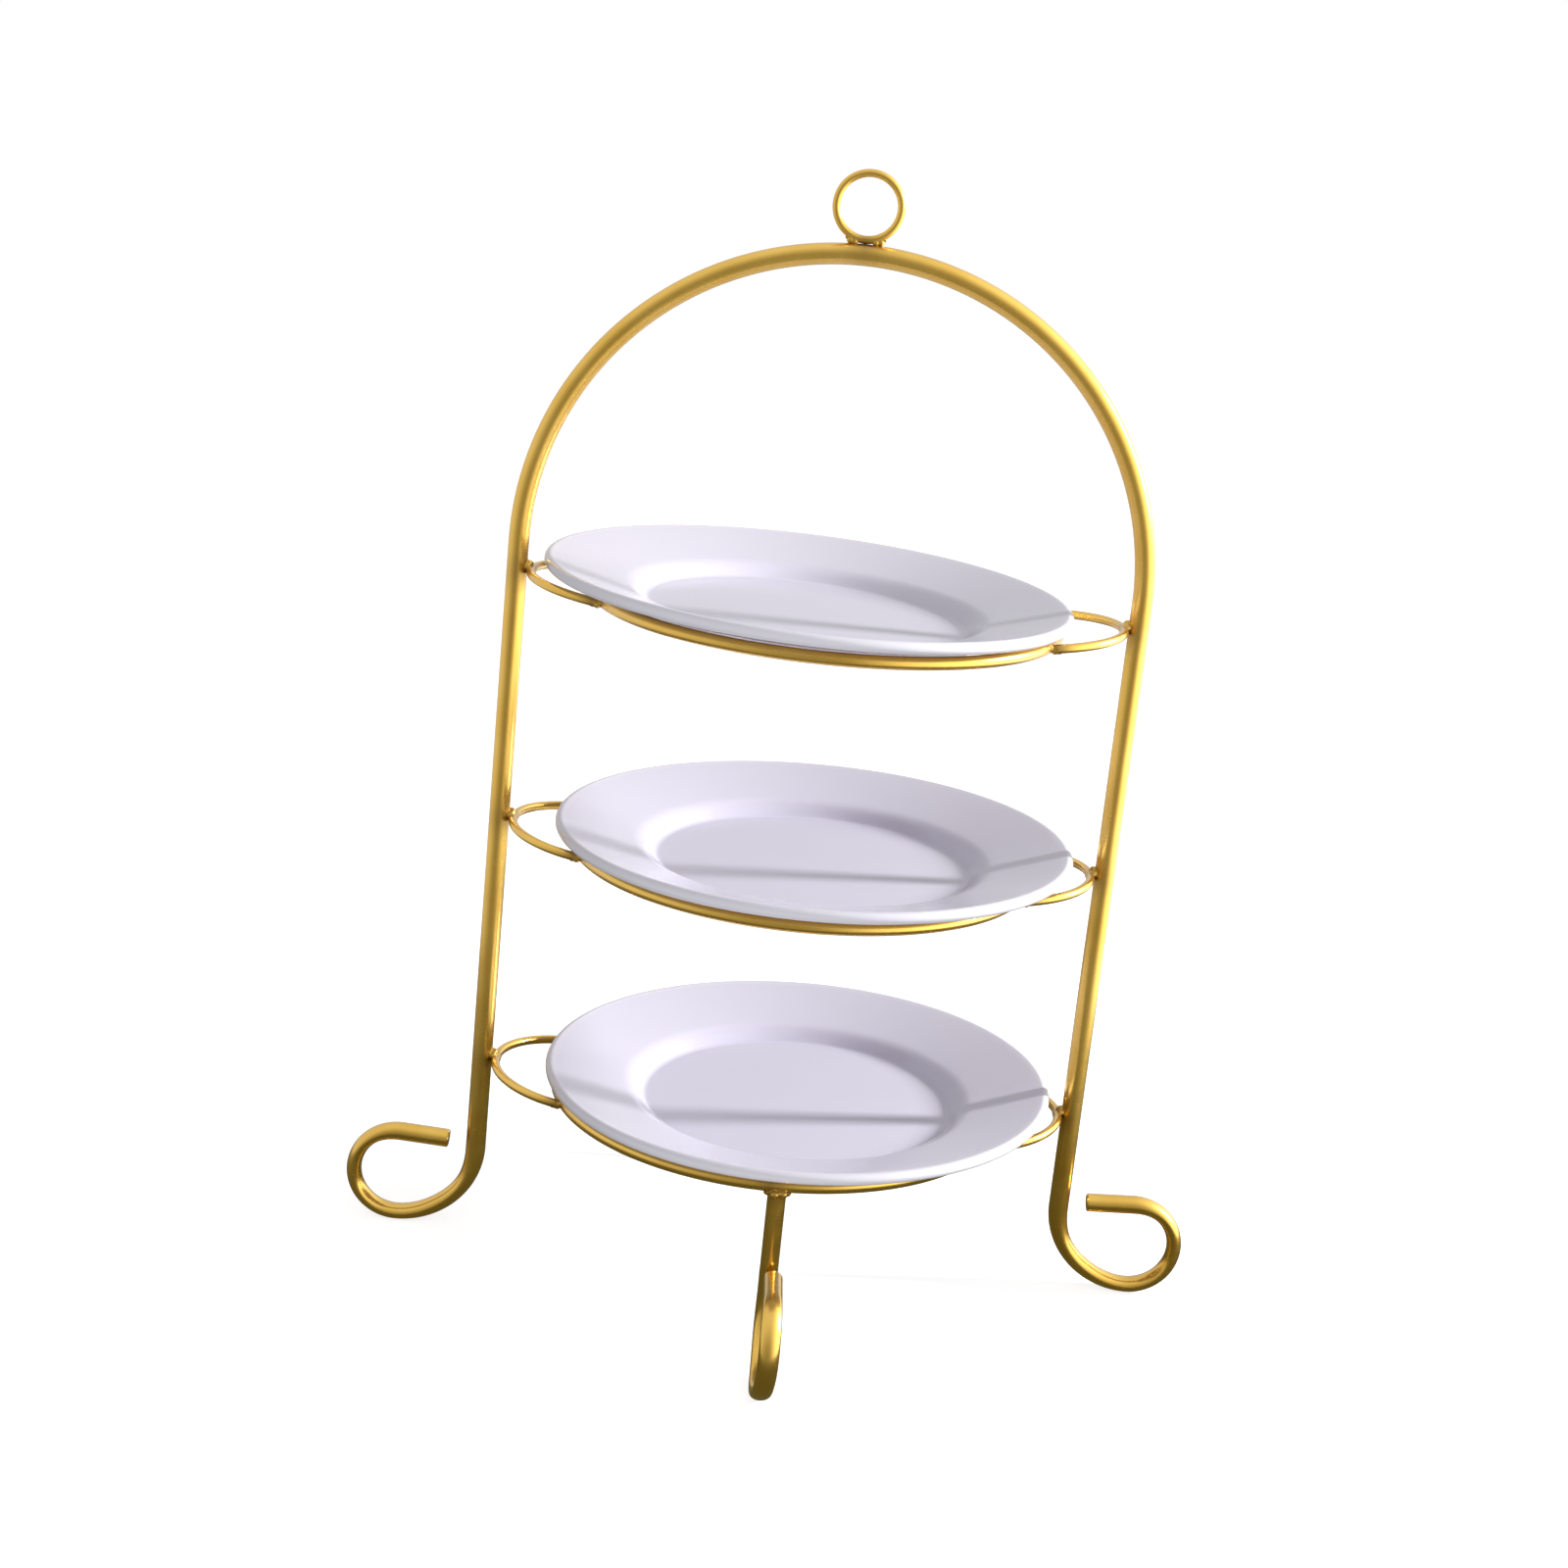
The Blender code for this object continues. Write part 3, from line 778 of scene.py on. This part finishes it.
def table_top(tree):
    place = tree.nodes.new("ShaderNodeTexCoord")
    away = tree.nodes.new("ShaderNodeVectorMath")
    away.operation = "LENGTH"
    tree.links.new(place.outputs["Object"], away.inputs[0])
    fade = tree.nodes.new("ShaderNodeValToRGB")
    fade.color_ramp.interpolation = "EASE"
    fade.color_ramp.elements[0].position = 0.14
    fade.color_ramp.elements[0].color = (0.125, 0.118, 0.055, 1)
    fade.color_ramp.elements[1].position = 0.44
    fade.color_ramp.elements[1].color = (0.36, 0.355, 0.32, 1)
    tree.links.new(away.outputs["Value"], fade.inputs["Fac"])
    return fade.outputs["Color"]


shell = bmesh.new()
bmesh.ops.create_icosphere(shell, subdivisions=4, radius=8.0)
shell_mesh = bpy.data.meshes.new("mirrored_walls")
shell.to_mesh(shell_mesh)
shell.free()
only_in_reflections("mirrored_walls", shell_mesh, walls)

slab = bmesh.new()
bmesh.ops.create_circle(slab, cap_ends=True, segments=64, radius=0.46)
slab_mesh = bpy.data.meshes.new("mirrored_table")
slab.to_mesh(slab_mesh)
slab.free()
table = only_in_reflections("mirrored_table", slab_mesh, table_top)
table.location.z = -0.002

window = bpy.data.lights.new("window", "AREA")
window.shape = "RECTANGLE"
window.size, window.size_y = 0.15, 0.60
window.energy = 63.0
window.color = (1.0, 0.985, 0.985)
window_turn, window_climb, window_away = radians(98.0), radians(22.0), 2.0
window_from = Vector((sin(window_turn) * cos(window_climb), -cos(window_turn) * cos(window_climb),
                      sin(window_climb)))
window_frame = bpy.data.objects.new("window", window)
window_frame.location = Vector((0, 0, 0.18)) + window_from * window_away
window_frame.rotation_mode = "QUATERNION"
window_frame.rotation_quaternion = (-window_from).to_track_quat("-Z", "Y")
bpy.context.scene.collection.objects.link(window_frame)
bpy.context.scene.view_settings.view_transform = "Standard"


# The camera. A short portrait lens about a metre away, looking a little down and held a few degrees off
# level.

camera = bpy.data.cameras.new("camera")
camera.lens = 57.7
camera.sensor_width = 36.0
camera.clip_start = 0.05
camera.clip_end = 60.0
camera_turn, camera_climb, camera_tip, camera_away = radians(0.24), radians(15.5), radians(5.85), 0.981
look_along = Vector((sin(camera_turn) * cos(camera_climb), cos(camera_turn) * cos(camera_climb),
                     -sin(camera_climb)))
viewer = bpy.data.objects.new("camera", camera)
viewer.location = Vector((-0.0095, 0.0, 0.2006)) - look_along * camera_away
viewer.rotation_mode = "QUATERNION"
viewer.rotation_quaternion = look_along.to_track_quat("-Z", "Y") @ Quaternion((0, 0, 1), camera_tip)
bpy.context.scene.collection.objects.link(viewer)
bpy.context.scene.camera = viewer
